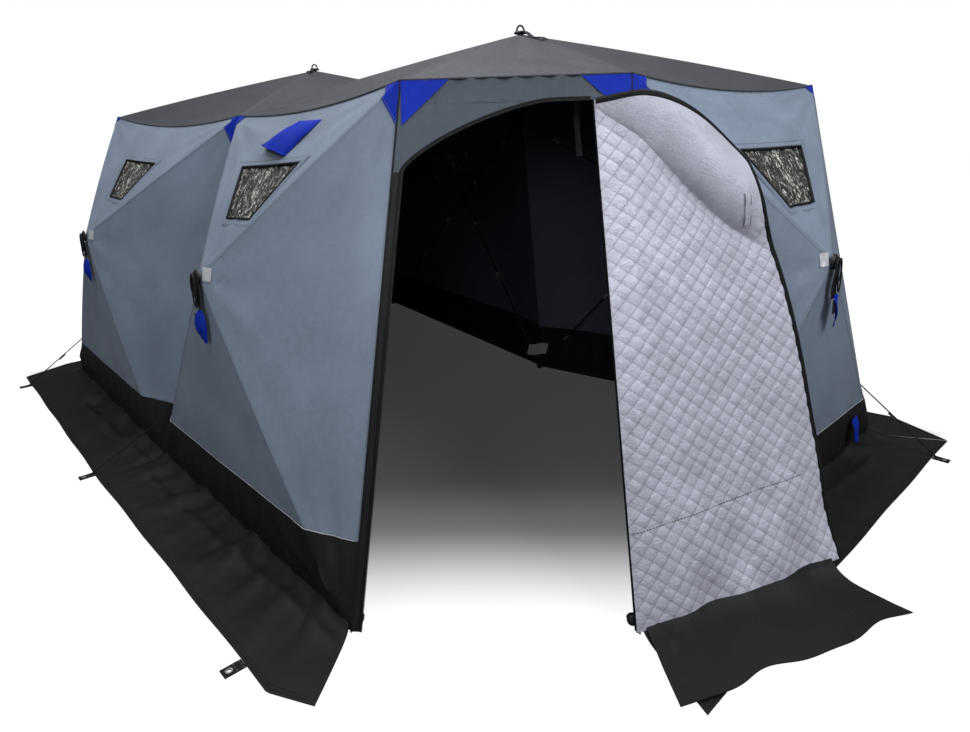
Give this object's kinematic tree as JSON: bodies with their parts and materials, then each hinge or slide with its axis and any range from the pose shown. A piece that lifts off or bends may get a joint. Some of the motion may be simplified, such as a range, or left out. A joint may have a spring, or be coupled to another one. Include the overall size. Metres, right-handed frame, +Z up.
{
  "type": "ice fishing hut",
  "caption": "Pop-up ice fishing hut: joined tent bays on hub-and-pole frames, with sloping windowed walls, snow skirts and a quilted fabric door that folds back at a cut-off corner.",
  "frame": {"origin": "middle of the un-cut base rectangle, on the ground", "axes": "+X along the length towards the end beside the door corner, +Y from the front wall to the back wall, +Z up"},
  "size_m": [5.2854, 3.5863, 2.094],
  "materials": {
    "wall_fabric": "coated weave",
    "roof_fabric": "coated weave",
    "skirt_fabric": "coated weave",
    "window_vinyl": "clear crinkled film",
    "pole_fibreglass": "smooth",
    "moulded_plastic": "satin",
    "accent_fabric": "woven",
    "webbing": "ribbed",
    "eyelet_metal": "plated",
    "quilted_lining": "satin, diamond quilting",
    "zip_tape": "zip tape"
  },
  "bodies": {
    "hut": {"front_left_wall": "wall_fabric", "front_right_wall": "wall_fabric", "right_end_wall": "wall_fabric", "back_right_wall": "wall_fabric", "back_left_wall": "wall_fabric", "left_end_wall": "wall_fabric", "left_roof": "roof_fabric", "right_roof": "roof_fabric", "door_surround": "wall_fabric", "front_left_skirt": "skirt_fabric", "front_right_skirt": "skirt_fabric", "right_end_skirt": "skirt_fabric", "back_right_skirt": "skirt_fabric", "back_left_skirt": "skirt_fabric", "left_end_skirt": "skirt_fabric", "front_left_window": "window_vinyl", "front_right_window": "window_vinyl", "right_end_window": "window_vinyl", "back_right_window": "window_vinyl", "back_left_window": "window_vinyl", "left_end_window": "window_vinyl", "front_left_poles": "pole_fibreglass", "front_right_poles": "pole_fibreglass", "right_end_poles": "pole_fibreglass", "back_right_poles": "pole_fibreglass", "back_left_poles": "pole_fibreglass", "left_end_poles": "pole_fibreglass", "left_roof_poles": "pole_fibreglass", "right_roof_poles": "pole_fibreglass", "pole_hubs": "moulded_plastic", "corner_sockets": "moulded_plastic", "corner_patches": "accent_fabric", "vent_hood": "accent_fabric", "pull_straps": "webbing", "pull_tabs": "accent_fabric", "anchor_lines": "webbing", "anchor_tabs": "webbing", "eyelets": "eyelet_metal", "door_piping": "zip_tape"},
    "door_fold": {"door_fold": "quilted_lining"},
    "door": {"door_panel": "quilted_lining", "door_zip": "zip_tape", "door_flap": "skirt_fabric"}
  },
  "joints": [
    {"name": "door_hinge", "type": "hinge", "parent": "hut", "child": "door_fold", "pos_m": [2.18998, -0.72694, 0.00103], "axis": [0.191, -0.0995, -0.9765], "range_deg": [0, 180]},
    {"name": "door_crease", "type": "hinge", "parent": "door_fold", "child": "door", "pos_m": [2.20238, -0.72097, 0.00371], "axis": [0.1456, -0.1456, -0.9786], "range_deg": [0, 21]}
  ],
  "couplings": [
    {"joint": "door_crease", "follows": "door_hinge", "ratio": 0.11662}
  ]
}
